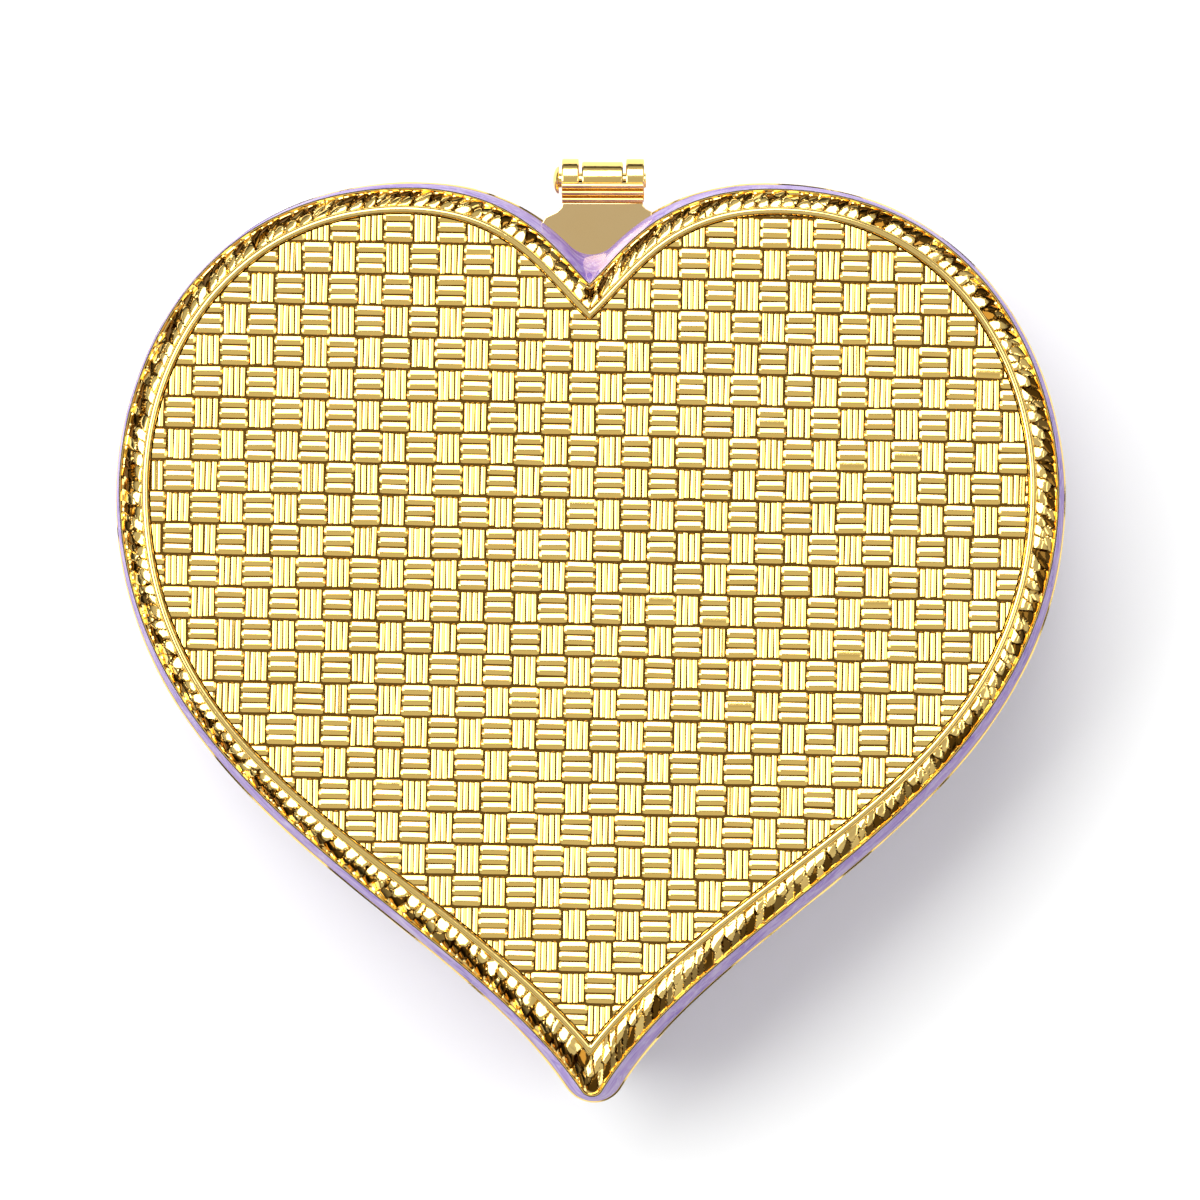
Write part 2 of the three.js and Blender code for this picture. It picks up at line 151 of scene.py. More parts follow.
def wrap_rows(name, rows, capped, painted_shades=None):
    """A grid wrapped round the heart, one row for each line. Its two ends are capped or joined up."""
    if not capped:
        rows = rows + [rows[0]]
    around = len(rows[0])
    bpy.ops.object.select_all(action="DESELECT")
    bpy.ops.mesh.primitive_grid_add(x_subdivisions=around, y_subdivisions=len(rows) - 1, size=0.01)
    piece = bpy.context.object
    piece.name = name
    places = np.concatenate([np.vstack([row, row[:1]]) for row in rows]) * MM
    piece.data.vertices.foreach_set("co", places.ravel())
    # Where given, each point's painted shade is stored on the mesh for its material to darken it.
    if painted_shades is not None:
        layer = piece.data.attributes.new("hollow", "FLOAT", "POINT")
        closed = [[*row, row[0]] for row in [*painted_shades, painted_shades[0]]]
        layer.data.foreach_set("value", np.concatenate(closed))
    bpy.ops.object.mode_set(mode="EDIT")
    bpy.ops.mesh.select_all(action="SELECT")
    bpy.ops.mesh.remove_doubles(threshold=5e-7)
    if capped:
        bpy.ops.mesh.select_all(action="DESELECT")
        bpy.ops.mesh.select_mode(type="EDGE")
        bpy.ops.mesh.select_non_manifold()
        bpy.ops.mesh.edge_face_add()
        bpy.ops.mesh.select_mode(type="VERT")
    bpy.ops.mesh.select_all(action="SELECT")
    bpy.ops.mesh.normals_make_consistent(inside=False)
    bpy.ops.object.mode_set(mode="OBJECT")
    return piece


def smooth(piece, angle):
    select_only(piece)
    bpy.ops.object.shade_smooth_by_angle(angle=math.radians(angle))


class Level:
    """A number that varies over a surface. Sums and products of it are worked out in the material."""

    def __init__(self, finish, socket):
        self.finish, self.socket = finish, socket

    def maths(self, operation, *values):
        node = self.finish.add("ShaderNodeMath", {"operation": operation}, dict(enumerate(values)))
        return Level(self.finish, node.outputs[0])

    def __add__(self, other):
        return self.maths("ADD", self, other)

    def __mul__(self, other):
        return self.maths("MULTIPLY", self, other)

    def __sub__(self, other):
        return self.maths("SUBTRACT", self, other)

    def __abs__(self):
        return self.maths("ABSOLUTE", self)

    def between(self, low, high):
        node = self.finish.add("ShaderNodeMapRange", {"interpolation_type": "SMOOTHSTEP"},
                               {"Value": self, "From Min": low, "From Max": high})
        return Level(self.finish, node.outputs[0])


class Finish:
    """A surface finish being mixed from nodes."""

    def __init__(self, name):
        self.material = bpy.data.materials.new(name)
        self.material.use_nodes = True
        self.nodes, self.links = self.material.node_tree.nodes, self.material.node_tree.links
        self.nodes.clear()
        self.place = self.add("ShaderNodeTexCoord").outputs["Object"]

    def add(self, kind, settings=None, sockets=None):
        node = self.nodes.new(kind)
        for key, value in (settings or {}).items():
            if key == "stops":
                for stop, (at, colour) in zip(self.ramp_stops(node, len(value)), value):
                    stop.position, stop.color = at, colour
            else:
                setattr(node, key, value)
        for key, value in (sockets or {}).items():
            value = getattr(value, "socket", value)
            if isinstance(value, bpy.types.NodeSocket):
                self.links.new(value, node.inputs[key])
            else:
                node.inputs[key].default_value = value
        return node

    def ramp_stops(self, node, count):
        while len(node.color_ramp.elements) < count:
            node.color_ramp.elements.new(0.5)
        return node.color_ramp.elements

    def grain(self, size_mm, detail=2.0, swirl=0.0, place=None):
        """Cloudy variation from 0 to 1, with patches of about the given size."""
        node = self.add("ShaderNodeTexNoise", None, {
            "Vector": place or self.place, "Scale": 1 / (size_mm * MM),
            "Detail": detail, "Distortion": swirl})
        return Level(self, node.outputs[0])

    def blend(self, share, first, second):
        node = self.add("ShaderNodeMix", {"data_type": "RGBA"}, {0: share, 6: first, 7: second})
        return node.outputs[2]

    def lay_on(self, colour, roughness, height=None, depth_mm=0.0, **sockets):
        """The shader itself, with an optional bump of the given depth."""
        values = {"Base Color": colour, "Roughness": roughness}
        values.update({key.replace("_", " "): value for key, value in sockets.items()})
        if height is not None:
            bump = self.add("ShaderNodeBump", None, {
                "Height": height, "Distance": depth_mm * MM, "Strength": 1.0})
            values["Normal"] = bump.outputs[0]
        shader = self.add("ShaderNodeBsdfPrincipled", None, values)
        self.add("ShaderNodeOutputMaterial", None, {"Surface": shader.outputs[0]})
        return self.material


GOLD = (1.0, 0.73, 0.26, 1.0)
DEEP_GOLD = (0.98, 0.67, 0.19, 1.0)
PALE_GOLD = (1.0, 0.76, 0.31, 1.0)


def polished_gilt():
    finish = Finish("polished gilt")
    cloud = finish.grain(6.0, 3.0)
    colour = finish.blend(cloud, DEEP_GOLD, GOLD)
    pitting = finish.grain(0.35, 3.0)
    return finish.lay_on(colour, cloud * 0.05 + 0.07, pitting, 0.006, Metallic=1.0)


def satin_gilt():
    finish = Finish("satin gilt")
    cloud = finish.grain(9.0, 4.0)
    fine = finish.grain(0.18, 2.0)
    colour = finish.blend(cloud, DEEP_GOLD, PALE_GOLD)
    return finish.lay_on(colour, cloud * 0.12 + 0.26, fine, 0.012, Metallic=1.0)


POLISHED_GILT = polished_gilt()
SATIN_GILT = satin_gilt()


def beaten_lip(low, high, seed):
    """The lip at the seam: a rounded band round the box, knocked in by small hammer dents."""
    rounding, dent, deepest, reach = 0.16, 0.02, 0.1, 0.5
    blow = np.hanning(31) / 6
    rng = np.random.default_rng(seed)
    rows = []
    count = len(seam_line(0, 0))
    for share in (0.0, 0.12, 0.4, 0.7, 0.9, 1.0):
        round_off = rounding * abs(2 * share - 1) ** 4
        dents = np.convolve(np.tile(rng.normal(0, 1, count), 3), blow, "same")[count:2 * count]
        line = seam_line(SEAM_GROW - round_off, low + share * (high - low))
        inner = seam_line(SEAM_GROW - round_off - reach, 0)
        inward = (inner[:, :2] - line[:, :2]) / reach
        line[:, :2] += inward * np.clip(dent + dent * dents, 0, deepest)[:, None]
        rows.append(line)
    return rows


base_lip = BASE_HEIGHT - LIP_HEIGHT
base_rows = [seam_line(grow, z) for grow, z in BASE_FOOT]
base_rows += [seam_line(wall_grow(share) - BEHIND_ENAMEL, FOOT_Z + share * (base_lip - FOOT_Z))
              for share in WALL_SHARES]
base_rows += [seam_line(SEAM_GROW - LIP_SHOULDER, base_lip)] + beaten_lip(base_lip, BASE_HEIGHT, 3)
base_rows += [seam_line(grow, z) for grow, z in BASE_INSIDE]
base_casting = wrap_rows("base_casting", base_rows, capped=True)
base_casting.data.materials.append(POLISHED_GILT)
base_casting.data.materials.append(SATIN_GILT)
for face in base_casting.data.polygons:
    inside = face.normal.z > 0.9 and face.center.z < 0.002
    if inside or face.center.z < 0.0001:
        face.material_index = 1
smooth(base_casting, 24)
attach(base_casting, "box_base")
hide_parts("base")


# The enamel is lavender glass powder fused on to both walls in a band between the gold lips.
# It is glossy and pearly, with paler and darker veins that drift round the box as the glass ran.
# Each band is a closed skin let into the casting a little below the lips.
LID_SEAM = 13.9
RIM_Z = 26.2
RIM_BAND = 0.35
ENAMEL_SHARES = (0.0, 0.01, 0.04, 0.12, 0.25, 0.4, 0.55, 0.7, 0.83, 0.93, 0.97, 0.995, 1.0)
ENAMEL_EASED = 0.06
ENAMEL_DEPTH = 0.2


def shade(red, green, blue):
    """A colour from its everyday 0 to 255 values."""
    parts = [((value / 255 + 0.055) / 1.055) ** 2.4 for value in (red, green, blue)]
    return (*parts, 1.0)


def pearl_enamel():
    finish = Finish("lavender enamel")
    warp = finish.add("ShaderNodeTexNoise", None, {
        "Vector": finish.place, "Scale": 90.0, "Detail": 2.0}).outputs["Color"]
    drift = finish.add("ShaderNodeVectorMath", {"operation": "SCALE"}, {0: warp, "Scale": 0.009}).outputs[0]
    flowed = finish.add("ShaderNodeVectorMath", {"operation": "ADD"}, {0: finish.place, 1: drift}).outputs[0]
    cloud = finish.grain(7.0, 4.0, 1.6, flowed)
    vein = abs(finish.grain(5.0, 3.0, 2.2, flowed) - 0.5).between(0.0, 0.07)
    body = finish.add("ShaderNodeValToRGB", {"stops": (
        (0.30, shade(128, 100, 180)), (0.45, shade(156, 128, 198)),
        (0.58, shade(176, 150, 206)), (0.72, shade(200, 184, 216)))}, {"Fac": cloud}).outputs[0]
    colour = finish.blend(vein * 0.5 + 0.5, shade(202, 192, 222), body)
    return finish.lay_on(colour, 0.22, finish.grain(2.5, 2.0), 0.02,
                         Coat_Weight=0.22, Coat_Roughness=0.04, Specular_IOR_Level=0.0)


ENAMEL = pearl_enamel()


def enamel_band(name, rim_edge, lip_edge, body, node):
    """A skin of enamel between two heights, eased back at both edges."""
    rows = []
    for share in ENAMEL_SHARES:
        eased = 0.0 if 0.02 < share < 0.98 else ENAMEL_EASED
        rows.append(seam_line(wall_grow(share) - eased, rim_edge + share * (lip_edge - rim_edge)))
    rows += [seam_line(wall_grow(share) - ENAMEL_DEPTH, rim_edge + share * (lip_edge - rim_edge))
             for share in WALL_SHARES[::-1]]
    band = wrap_rows(name, rows, capped=False)
    band.data.materials.append(ENAMEL)
    smooth(band, 40)
    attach(band, body)
    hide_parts(node)


enamel_band("base_enamel", FOOT_Z, base_lip, "box_base", "base")
lid_lip = LID_SEAM + LIP_HEIGHT
enamel_band("lid_enamel", RIM_Z - RIM_BAND, lid_lip, "box_lid", "lid")


# The lid's shell is the second casting: a sheet under the face plate, the wall behind the enamel
# and the lip at the seam, with a groove inside that drops over the base's tongue.
BEAD = dict(notch=26.5, handle=3.5, lobe=(15.0, 34.8), lobe_in=8.8, lobe_out=12.5,
            wide=(35.62, 12.35), wide_up=12.0, wide_down=24.0, tip=-32.75, tip_side=12.8, tip_up=16.0)
SHEET_Z = 26.05
WALL_DROP = 0.4
LID_EDGE = ((-0.3, SHEET_Z), (-0.3, 25.8))
LID_INSIDE = ((0.85, 13.9), (0.75, 13.98), (0.75, 14.9), (-0.3, 14.9), (-0.4, 15.0),
              (-1.55, 23.6), (-1.7, 24.3), (-2.1, 24.7), (-2.6, 24.8))

lid_rows = [at_height(heart_line(BEAD, 0.0, WALL_ROUND), SHEET_Z)]
lid_rows += [seam_line(grow, z) for grow, z in LID_EDGE]
lid_rows += [seam_line(wall_grow(share) - BEHIND_ENAMEL,
                       RIM_Z - WALL_DROP + share * (lid_lip - RIM_Z + WALL_DROP))
             for share in WALL_SHARES]
lid_rows += [seam_line(SEAM_GROW - LIP_SHOULDER, lid_lip)] + beaten_lip(LID_SEAM, lid_lip, 5)[::-1]
lid_rows += [seam_line(grow, z) for grow, z in LID_INSIDE]
lid_shell = wrap_rows("lid_shell", lid_rows, capped=True)
lid_shell.data.materials.append(POLISHED_GILT)
lid_shell.data.materials.append(SATIN_GILT)
for face in lid_shell.data.polygons:
    if abs(face.normal.z) > 0.9 and face.center.z > 0.0245:
        face.material_index = 1
smooth(lid_shell, 24)
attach(lid_shell, "box_lid")
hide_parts("lid")


# The border runs round the top of the lid: a smooth bead inside, and outside it a slope that was
# chased with a punch into close rounded facets, down to a thin lip over the enamel.
# It is cast with the lid and bright polished. The cuts between the facets are real grooves; they and most of
# the outer facets are painted near black as shade and dark reflection.
BORDER_ROUND = 2400
BORDER_ROWS = 21
SLANT = 0.5
SQUASH = 0.72
MARK_REACH = 2.4
CREASE_WIDTH, CREASE_DEPTH = 0.085, 0.10
PIT_WIDTH = 0.22
DISHED_ALONG, DISHED_ACROSS = 0.06, 0.05
STRUCK_FROM = np.array([-0.20, 0.18])
# The two rows of marks: place across, spacing, height, lean outwards and share painted dark as a dark
# reflection.
PUNCHED = ((0.27, 1.05, 0.02, 0.26, 0.03), (0.80, 0.85, -0.04, 0.0, 0.75))
BEAD_MIDDLE = (-0.215, 26.93)
BEAD_HALF = (0.335, 0.365)
SLOPE_TOP, SLOPE_FALL, SLOPE_ROUND = 27.0, 0.33, 0.51
SLOPE_EDGE = 0.06
BORDER_LIP = ((-0.235, 26.22), (-0.17, 26.29), (-0.09, 26.3), (-0.02, 26.24), (0.0, 26.1),
              (0.0, 25.86), (-0.1, 25.84))
BORDER_UNDER = 25.7
POCKET_Z = 26.0


def punch_marks(foot, rng):
    """Punch marks along the border, in mm: place, height, tilt, and how dark each is painted as a dark
    reflection.
    """
    along = np.concatenate([[0], np.cumsum(np.linalg.norm(np.diff(foot[:, :2], axis=0), axis=1))])
    length = along[-1] + 0.1
    marks = []
    for across, spacing, level, lean, dark in PUNCHED:
        count = int(length / spacing)
        start = (np.arange(count) + rng.uniform(-0.4, 0.4, count)) * length / count
        marks.append(np.column_stack([
            start, across + rng.uniform(-0.11, 0.11, count), level + rng.uniform(-0.05, 0.05, count),
            rng.normal(0, 0.07, count), rng.normal(lean, 0.09, count),
            np.where(rng.uniform(0, 1, count) < dark, rng.uniform(0.6, 1.0, count), 0.0)]))
    return along, length, np.vstack(marks)


def chase(grid, seed):
    """The facets round their punch marks: the height, the cuts between them and how dark each is painted as
    shade.
    """
    rng = np.random.default_rng(seed)
    middle = grid[len(grid) // 2]
    along, length, marks = punch_marks(middle, rng)
    width = np.linalg.norm(grid[-1] - grid[0], axis=1)
    height, cut, facet_shade = (np.zeros(grid.shape[:2]) for _ in range(3))
    ahead = (np.roll(middle, -1, axis=0) - np.roll(middle, 1, axis=0))[:, :2]
    ahead /= np.linalg.norm(ahead, axis=1)[:, None]
    for i in range(len(along)):
        gap = (marks[:, 0] - along[i] + length / 2) % length - length / 2
        near = marks[abs(gap) < MARK_REACH]
        u = -gap[abs(gap) < MARK_REACH][:, None]
        v = (np.linspace(0, 1, len(grid))[None] - near[:, 1:2]) * width[i]
        away = np.hypot(u + SLANT * v, SQUASH * v)
        order = np.argsort(away, axis=0)
        ranked = np.take_along_axis(away, order, axis=0)
        crease = np.exp(-((ranked[1] - ranked[0]) / CREASE_WIDTH) ** 2)
        pit = np.exp(-((ranked[2] - ranked[0]) / PIT_WIDTH) ** 2)
        own = near[order[0]]
        u = np.take_along_axis(u + 0 * v, order[:1], axis=0)[0]
        v = np.take_along_axis(v, order[:1], axis=0)[0]
        leftward = STRUCK_FROM @ ahead[i]
        outward = STRUCK_FROM @ [ahead[i][1], -ahead[i][0]]
        height[:, i] = (own[:, 2] + (own[:, 3] - leftward) * u + (own[:, 4] - outward) * v
                        - DISHED_ALONG * u ** 2 - DISHED_ACROSS * v ** 2)
        cut[:, i] = np.maximum(crease, pit)
        facet_shade[:, i] = own[:, 5]
    return height, cut, facet_shade


def border_rows():
    """The rows of the slope from the bead to the lip, and how dark each of their points is painted as shade.
    """
    inner = heart_line(BEAD, 0.10, BORDER_ROUND)
    outer = heart_line(RIM, -0.24, BORDER_ROUND, CRISP, 0.76)
    shares = np.linspace(0, 1, BORDER_ROWS)
    grid = []
    for share in shares:
        z = SLOPE_TOP - SLOPE_FALL * share - SLOPE_ROUND * share ** 2
        grid.append(at_height(inner + share * (outer - inner), z))
    grid = np.array(grid)
    height, cut, facet_shade = chase(grid, 11)
    across = np.gradient(grid, axis=0)
    around = np.roll(grid, -1, axis=1) - np.roll(grid, 1, axis=1)
    outward = np.cross(across, around)
    outward /= np.linalg.norm(outward, axis=2)[:, :, None]
    outward *= np.sign(outward[:, :, 2:3])
    hold = np.clip(np.minimum(shares / SLOPE_EDGE, (1 - shares) / SLOPE_EDGE), 0, 1)[:, None]
    lift = np.clip((height - 0.02 - CREASE_DEPTH * cut) * hold - 0.05 * (1 - hold), -0.3, 0.15)
    return list(grid + outward * lift[:, :, None]), np.maximum(cut, facet_shade) * hold


def bead_side(grow, z):
    return at_height(heart_line(BEAD, grow, BORDER_ROUND), z)


def rim_side(grow, z):
    return at_height(heart_line(RIM, grow, BORDER_ROUND, CRISP, max(CRISP, TIP_ROUND + grow)), z)


bead_arc = [math.radians(a) for a in (178, 155, 130, 105, 80, 55, 32, 10)]
bead_rows = [bead_side(BEAD_MIDDLE[0] + BEAD_HALF[0] * math.cos(a),
                       BEAD_MIDDLE[1] + BEAD_HALF[1] * math.sin(a)) for a in bead_arc]
slope_rows, slope_shading = border_rows()
lower_rows = [rim_side(grow, z) for grow, z in BORDER_LIP]
lower_rows += [rim_side(-0.4, BORDER_UNDER), bead_side(-0.3, BORDER_UNDER), bead_side(-0.55, POCKET_Z)]
# Painted shade for each point: none on the bead and the lip rows, the slope's own on the facets.
bright = np.zeros(len(slope_shading[0]))
border_shading = [bright] * len(bead_rows) + list(slope_shading) + [bright] * len(lower_rows)
lid_border = wrap_rows("lid_border", bead_rows + slope_rows + lower_rows, capped=False, painted_shades=border_shading)
smooth(lid_border, 28)


def chased_gilt():
    finish = Finish("chased gilt")
    cloud = finish.grain(5.0, 3.0)
    hollow = Level(finish, finish.add("ShaderNodeAttribute", {"attribute_name": "hollow"}).outputs["Fac"])
    bright = finish.blend(cloud, DEEP_GOLD, GOLD)
    # Painted shade: in the cuts and on the facets set dark, the gilt is painted near black brown.
    colour = finish.blend(hollow.between(0.3, 0.8), bright, (0.12, 0.055, 0.007, 1.0))
    return finish.lay_on(colour, cloud * 0.04 + 0.06, finish.grain(0.6, 1.0), 0.012, Metallic=1.0)


lid_border.data.materials.append(chased_gilt())
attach(lid_border, "box_lid")
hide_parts("lid")


# The face plate is stamped sheet brass, dropped into the pocket inside the bead and plated pale.
# Its basket weave alternates three lying reeds with four upright ones. Each row is set half a
# pitch along from the row before, and the whole pattern sits a little off square.
WEAVE_PITCH = 4.3
WEAVE_ROW = 2.52
WEAVE_TURN = math.radians(-0.8)
WEAVE_PLACE = (-6.9, 17.95)
GROUND_Z = 26.78
REED_TOP = 27.06
REED_SLOPE = 0.32
LYING_REED, LYING_STEP = (2.47, 0.80), 0.82
UPRIGHT_REED, UPRIGHT_STEP = (2.46, 0.385), 0.455
PAIRS_ACROSS, ROW_PAIRS = 20, 15
FIRST_PAIR = (-9, -22)
PLATE_GROW = -0.62
PLATE_ROUND = 480
SHEET_UNDER = 26.3


def reed(length, width):
    """One reed along X: a flat-topped rod with sloping shoulders, steep sides and rounded ends."""
    bpy.ops.object.select_all(action="DESELECT")
    bpy.ops.mesh.primitive_cylinder_add(vertices=6, radius=0.5, depth=1.0, end_fill_type="NGON",
                                        rotation=(0, math.pi / 2, 0))
    rod = bpy.context.object
    bpy.ops.object.transform_apply(location=True, rotation=True, scale=True)
    bpy.ops.object.mode_set(mode="EDIT")
    for x in (-0.4, -0.3, 0.3, 0.4):
        bpy.ops.mesh.select_all(action="SELECT")
        bpy.ops.mesh.bisect(plane_co=(x, 0, 0), plane_no=(1, 0, 0))
    bpy.ops.object.mode_set(mode="OBJECT")
    stations = {0.5: (0.5 * length, 0.42, 0.25), 0.4: (0.5 * length - 0.1 * width, 0.82, 0.75),
                0.3: (0.5 * length - 0.32 * width, 1.0, 1.0)}
    full = REED_TOP - GROUND_Z
    for vertex in rod.data.vertices:
        x, y, z = vertex.co
        out, wide, tall = stations[round(abs(x), 1)]
        side, height = (0.87, full - 0.375 * width * REED_SLOPE) if abs(z) < 0.1 else (0.12, full)
        if z < -0.1:
            side, height = 1.0, -0.08
        vertex.co = (math.copysign(out, x), math.copysign(0.5 * side * width * wide, y),
                     GROUND_Z + height * (tall if height > 0 else 1))
    return rod


def copy_of(piece, along, up, quarter=False):
    """A copy moved along and up, after a quarter turn where one is asked for."""
    select_only(piece)
    bpy.ops.object.duplicate()
    twin = bpy.context.object
    turn = Matrix.Rotation(math.pi / 2 if quarter else 0, 4, "Z")
    twin.data.transform(Matrix.Translation((along, up, 0)) @ turn)
    return twin


def join(pieces, name):
    bpy.ops.object.select_all(action="DESELECT")
    for piece in pieces:
        piece.select_set(True)
    bpy.context.view_layer.objects.active = pieces[0]
    bpy.ops.object.join()
    pieces[0].name = name
    return pieces[0]


lying, upright = reed(*LYING_REED), reed(*UPRIGHT_REED)
bundle = [copy_of(lying, 0, LYING_STEP * k) for k in (-1, 0, 1)]
bundle += [copy_of(upright, WEAVE_PITCH / 2 + UPRIGHT_STEP * k, 0, quarter=True)
           for k in (-1.5, -0.5, 0.5, 1.5)]
reed_vertices = len(lying.data.vertices)
REEDS_IN_PAIR = len(bundle)
bpy.data.objects.remove(lying)
bpy.data.objects.remove(upright)
face_weave = join(bundle, "face_weave")
next_row = copy_of(face_weave, WEAVE_PITCH / 2, WEAVE_ROW)
face_weave = join([face_weave, next_row], "face_weave")
select_only(face_weave)
for count, step in ((PAIRS_ACROSS, (WEAVE_PITCH, 0, 0)), (ROW_PAIRS, (0, 2 * WEAVE_ROW, 0))):
    bpy.ops.object.modifier_add(type="ARRAY")
    array = face_weave.modifiers[-1]
    array.count = count
    array.use_relative_offset = False
    array.use_constant_offset = True
    array.constant_offset_displace = step
    bpy.ops.object.modifier_apply(modifier=array.name)

# No two reeds are struck quite alike: each differs a little in size, slant, place and height.
rng = np.random.default_rng(7)
places = np.empty(len(face_weave.data.vertices) * 3)
face_weave.data.vertices.foreach_get("co", places)
reeds = places.reshape(-1, reed_vertices, 3)
middles = reeds.mean(axis=1, keepdims=True)
spread = rng.uniform(0.95, 1.03, (len(reeds), 1, 2))
reeds[:, :, :2] = middles[:, :, :2] + (reeds - middles)[:, :, :2] * spread
skew = rng.normal(0, 0.009, (len(reeds), 1))
local = reeds - middles
reeds[:, :, 0] -= skew * local[:, :, 1]
reeds[:, :, 1] += skew * local[:, :, 0]
reeds[:, :, :2] += rng.normal(0, 0.018, (len(reeds), 1, 2))
above = np.maximum(0, reeds[:, :, 2] - GROUND_Z)
reeds[:, :, 2] += above * rng.uniform(-0.16, 0.0, (len(reeds), 1))
start = np.array([FIRST_PAIR[0] * WEAVE_PITCH, FIRST_PAIR[1] * WEAVE_ROW, 0])
turn = np.array(Matrix.Rotation(WEAVE_TURN, 3, "Z"))
reeds[:] = (reeds + start) @ turn.T + [WEAVE_PLACE[0], WEAVE_PLACE[1], 0]
face_weave.data.vertices.foreach_set("co", (reeds * MM).ravel())


def within(line, points):
    """Which of the points lie inside a closed line."""
    inside = np.zeros(len(points), bool)
    for (ax, ay), (bx, by) in zip(line, np.roll(line, -1, axis=0)):
        crosses = (ay > points[:, 1]) != (by > points[:, 1])
        if crosses.any():
            inside ^= crosses & (points[:, 0] < ax + (bx - ax) * (points[:, 1] - ay) / (by - ay + 1e-12))
    return inside


edge = heart_line(BEAD, PLATE_GROW, PLATE_ROUND)
flat = reeds[:, :, :2].reshape(-1, 2)
covered = within(edge, flat).reshape(len(reeds), reed_vertices)
whole, stray = covered.all(axis=1), ~covered.any(axis=1)


def keep_reeds(piece, kept):
    """Deletes all but the kept reeds."""
    select_only(piece)
    bpy.ops.object.mode_set(mode="EDIT")
    bpy.ops.mesh.select_mode(type="VERT")
    bpy.ops.mesh.select_all(action="DESELECT")
    bpy.ops.object.mode_set(mode="OBJECT")
    piece.data.vertices.foreach_set("select", np.repeat(~kept, reed_vertices))
    bpy.ops.object.mode_set(mode="EDIT")
    bpy.ops.mesh.delete(type="VERT")
    bpy.ops.object.mode_set(mode="OBJECT")


# The edge of the plate cuts through the reeds. Neighbours touch, so each of the seven reeds of a
# pair of bundles is trimmed in a round of its own.
trimmer = wrap_rows("trimmer", [at_height(edge, 26.4), at_height(edge, 27.29)], capped=True)
place_in_pair = np.arange(len(reeds)) % REEDS_IN_PAIR
trimmed = []
for k in range(REEDS_IN_PAIR):
    cut_reeds = copy_of(face_weave, 0, 0)
    keep_reeds(cut_reeds, ~whole & ~stray & (place_in_pair == k))
    bpy.ops.object.modifier_add(type="BOOLEAN")
    trim = cut_reeds.modifiers[-1]
    trim.operation, trim.object, trim.solver = "INTERSECT", trimmer, "MANIFOLD"
    bpy.ops.object.modifier_apply(modifier=trim.name)
    trimmed.append(cut_reeds)
keep_reeds(face_weave, whole)
bpy.data.objects.remove(trimmer)
sheet = wrap_rows("sheet", [at_height(edge, SHEET_UNDER), at_height(edge, GROUND_Z)], capped=True)
face_weave = join([face_weave, *trimmed, sheet], "face_weave")
smooth(face_weave, 15)


def plate_gilt():
    finish = Finish("stamped gilt")
    height = Level(finish, finish.add("ShaderNodeSeparateXYZ", None, {0: finish.place}).outputs[2])
    # Painted shade: the plate turns dark brown towards the ground, on the sheet between the reeds and on the
    # reeds' low sides.
    groove_shade = height.between((GROUND_Z - 0.02) * MM, (GROUND_Z + 0.13) * MM)
    cloud = finish.grain(8.0, 4.0)
    bright = finish.blend(cloud, (1.0, 0.66, 0.16, 1.0), (1.0, 0.71, 0.22, 1.0))
    colour = finish.blend(groove_shade, (0.22, 0.10, 0.012, 1.0), bright)
    return finish.lay_on(colour, cloud * 0.05 + 0.09, finish.grain(0.25, 3.0), 0.006, Metallic=1.0)


face_weave.data.materials.clear()
face_weave.data.materials.append(plate_gilt())
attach(face_weave, "box_lid")
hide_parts("face_plate")


# The hinge is brazed into the notch at the seam. The lid's leaf is a flat bright web that climbs
# in three round ribs to two outer knuckles, and the base's leaf is a plain web with a short neck
# to the middle knuckle. All of it is brass, turned or milled, and gold plated with the castings.
HINGE_X, HINGE_Y, HINGE_Z = 0.95, 38.5, 13.75
KNUCKLES = (1.42, 3.4, 1.52)
KNUCKLE_GAP = 0.25
BARREL = sum(KNUCKLES) + 2 * KNUCKLE_GAP
BARREL_LEFT, BARREL_RIGHT = HINGE_X - BARREL / 2, HINGE_X + BARREL / 2
CENTRE_LEFT = BARREL_LEFT + KNUCKLES[0] + KNUCKLE_GAP
CENTRE_RIGHT = BARREL_RIGHT - KNUCKLES[2] - KNUCKLE_GAP
OUTER_RADIUS, MIDDLE_RADIUS, BORE_RADIUS = 1.8, 1.55, 0.87
ON_AXIS = 0.1
LID_WEB_THICK, BASE_WEB_THICK, WEB_EASED = 0.97, 0.85, 0.08
WEB_REAR = 2.0
RIB_PITCH, RIB_RADIUS = 0.53, 0.3
RIB_BASES = (14.87, 14.87 + 0.38, 14.87 + 0.74)
NECK = ((-2.5, 12.5), (-0.4, 12.4), (-0.4, 13.6), (-2.5, 13.6))


def outline_solid(name, corners, direction, bevel):
    """A flat face on the given corners, drawn out along a direction, with its edges eased."""
    bpy.ops.object.select_all(action="DESELECT")
    bpy.ops.mesh.primitive_circle_add(vertices=len(corners), radius=0.001, fill_type="NGON")
    piece = bpy.context.object
    piece.name = name
    piece.data.vertices.foreach_set("co", (np.array(corners) * MM).ravel())
    bpy.ops.object.mode_set(mode="EDIT")
    bpy.ops.mesh.select_all(action="SELECT")
    bpy.ops.mesh.extrude_region_move(TRANSFORM_OT_translate={"value": Vector(direction) * MM})
    bpy.ops.mesh.select_all(action="SELECT")
    bpy.ops.mesh.normals_make_consistent(inside=False)
    bpy.ops.object.mode_set(mode="OBJECT")
    if bevel:
        bpy.ops.object.modifier_add(type="BEVEL")
        ease = piece.modifiers[-1]
        ease.width, ease.segments, ease.limit_method = bevel * MM, 3, "ANGLE"
        ease.angle_limit = math.radians(35)
        bpy.ops.object.modifier_apply(modifier=ease.name)
    return piece


